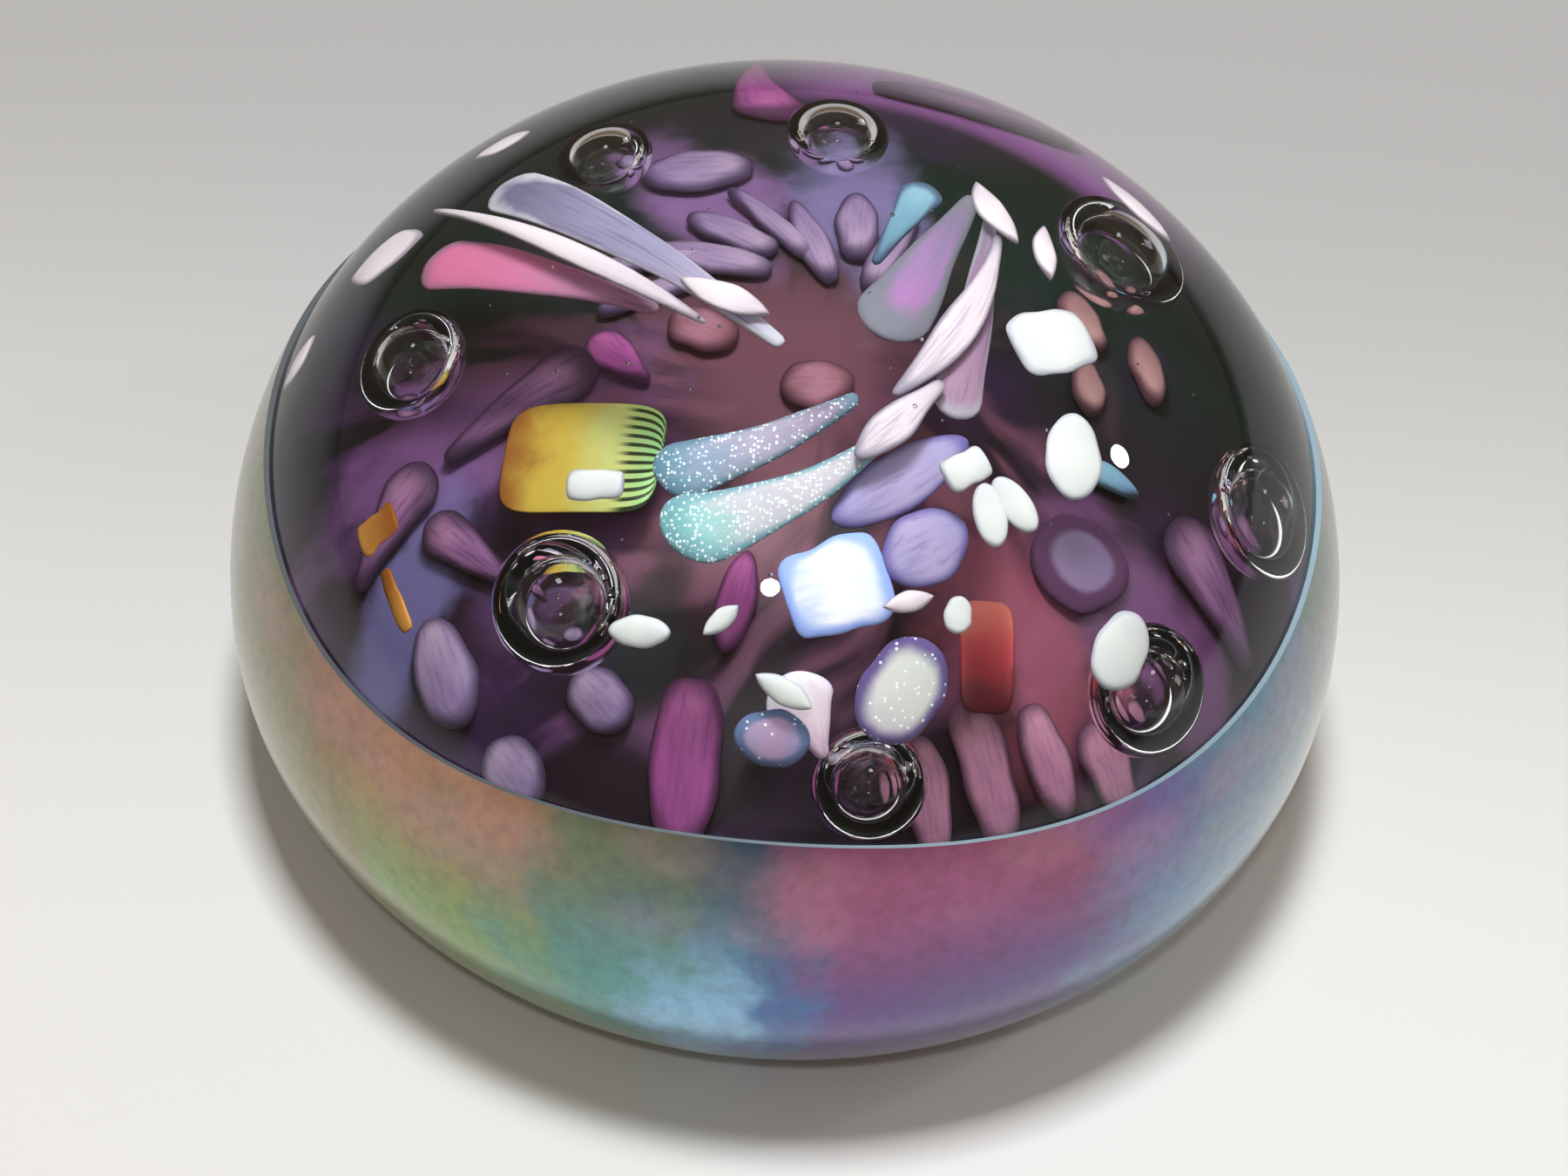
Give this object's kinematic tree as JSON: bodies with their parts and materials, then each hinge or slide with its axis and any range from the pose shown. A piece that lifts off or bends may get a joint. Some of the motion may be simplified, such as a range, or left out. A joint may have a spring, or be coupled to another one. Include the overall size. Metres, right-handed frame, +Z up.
{
  "type": "paperweight",
  "caption": "Domed clear glass paperweight with coloured petals, white chips and air bubbles over a dark mound, in a lustre skin that stops at a ground window.",
  "frame": {"origin": "middle of the flat ground base, on the surface that the weight stands on", "axes": "+Z up through the crown of the dome, -Y towards the front, where the skin is highest in view"},
  "size_m": [0.086, 0.086, 0.0511],
  "materials": {
    "amber_flake": "thin metal-coated flake, amber",
    "clear_glass": "polished clear glass",
    "dark_glass": "near-black green glass, ground flat underneath",
    "glitter_silver": "glittering silver and teal foil glass",
    "gold_flake": "thin metal-coated flake, gold turning green",
    "lilac_glass": "lilac glass",
    "lustre_skin": "fumed rainbow lustre, glossy",
    "magenta_glass": "magenta glass",
    "mauve_glass": "mauve glass",
    "opal_cream": "opaque cream glass",
    "opal_pink": "pinkish opal glass",
    "opal_white": "opaque white glass",
    "plum_glass": "plum glass",
    "red_flake": "thin metal-coated flake, red",
    "smoke_lilac": "grey lilac streaked glass",
    "teal_glass": "teal glass",
    "violet_glass": "violet glass with a pale blue bloom"
  },
  "bodies": {
    "root": {"arc_teal": "teal_glass", "band_plum_back": "plum_glass", "chip_butterfly": "opal_white", "chip_egg": "opal_white", "chip_leaf": "opal_white", "chip_oval": "opal_white", "chip_rhombus": "opal_white", "chip_small_leaf": "opal_white", "chip_small_oval": "opal_white", "chip_square": "opal_white", "chip_trapezoid": "opal_white", "clear_casing": "clear_glass", "comma_magenta_back": "magenta_glass", "dark_mound": "dark_glass", "fan_pink": "opal_pink", "feather_lilac": "smoke_lilac", "feather_silver": "glitter_silver", "feather_teal": "glitter_silver", "flake_gold": "gold_flake", "flake_red": "red_flake", "flakes_amber": "amber_flake", "halo_round": "opal_pink", "leaf_hot_pink": "magenta_glass", "leaf_pointed": "opal_cream", "leaf_shoulder_left": "opal_cream", "leaf_teal": "teal_glass", "leaf_white": "opal_cream", "lobe_violet": "violet_glass", "lumps_rose": "mauve_glass", "lustre_skin": "lustre_skin", "oval_grey": "violet_glass", "oval_violet": "violet_glass", "pane_blue": "violet_glass", "pebbles_side": "mauve_glass", "petal_blue_low": "lilac_glass", "petal_grey_lilac": "smoke_lilac", "petal_grey_low": "lilac_glass", "petal_lilac_back": "lilac_glass", "petal_lilac_low": "lilac_glass", "petal_magenta_front": "magenta_glass", "petal_magenta_high": "magenta_glass", "petal_magenta_left": "magenta_glass", "petal_purple_right": "plum_glass", "petal_rose_grey": "smoke_lilac", "petal_violet_left": "plum_glass", "petals_beige": "opal_pink", "petals_mauve": "mauve_glass", "ribbon_cream": "opal_cream", "ribbon_left": "opal_cream", "ring_purple": "plum_glass", "sliver_back_short": "opal_cream", "sliver_back_tall": "opal_cream", "sliver_cream": "opal_cream", "sliver_crown_left": "opal_cream", "sliver_shoulder_left": "opal_cream", "sliver_shoulder_right": "opal_cream", "streaks_back": "lilac_glass", "swoosh_plum_high": "plum_glass", "swoosh_plum_low": "plum_glass", "tip_cream": "opal_cream"}
  },
  "joints": []
}
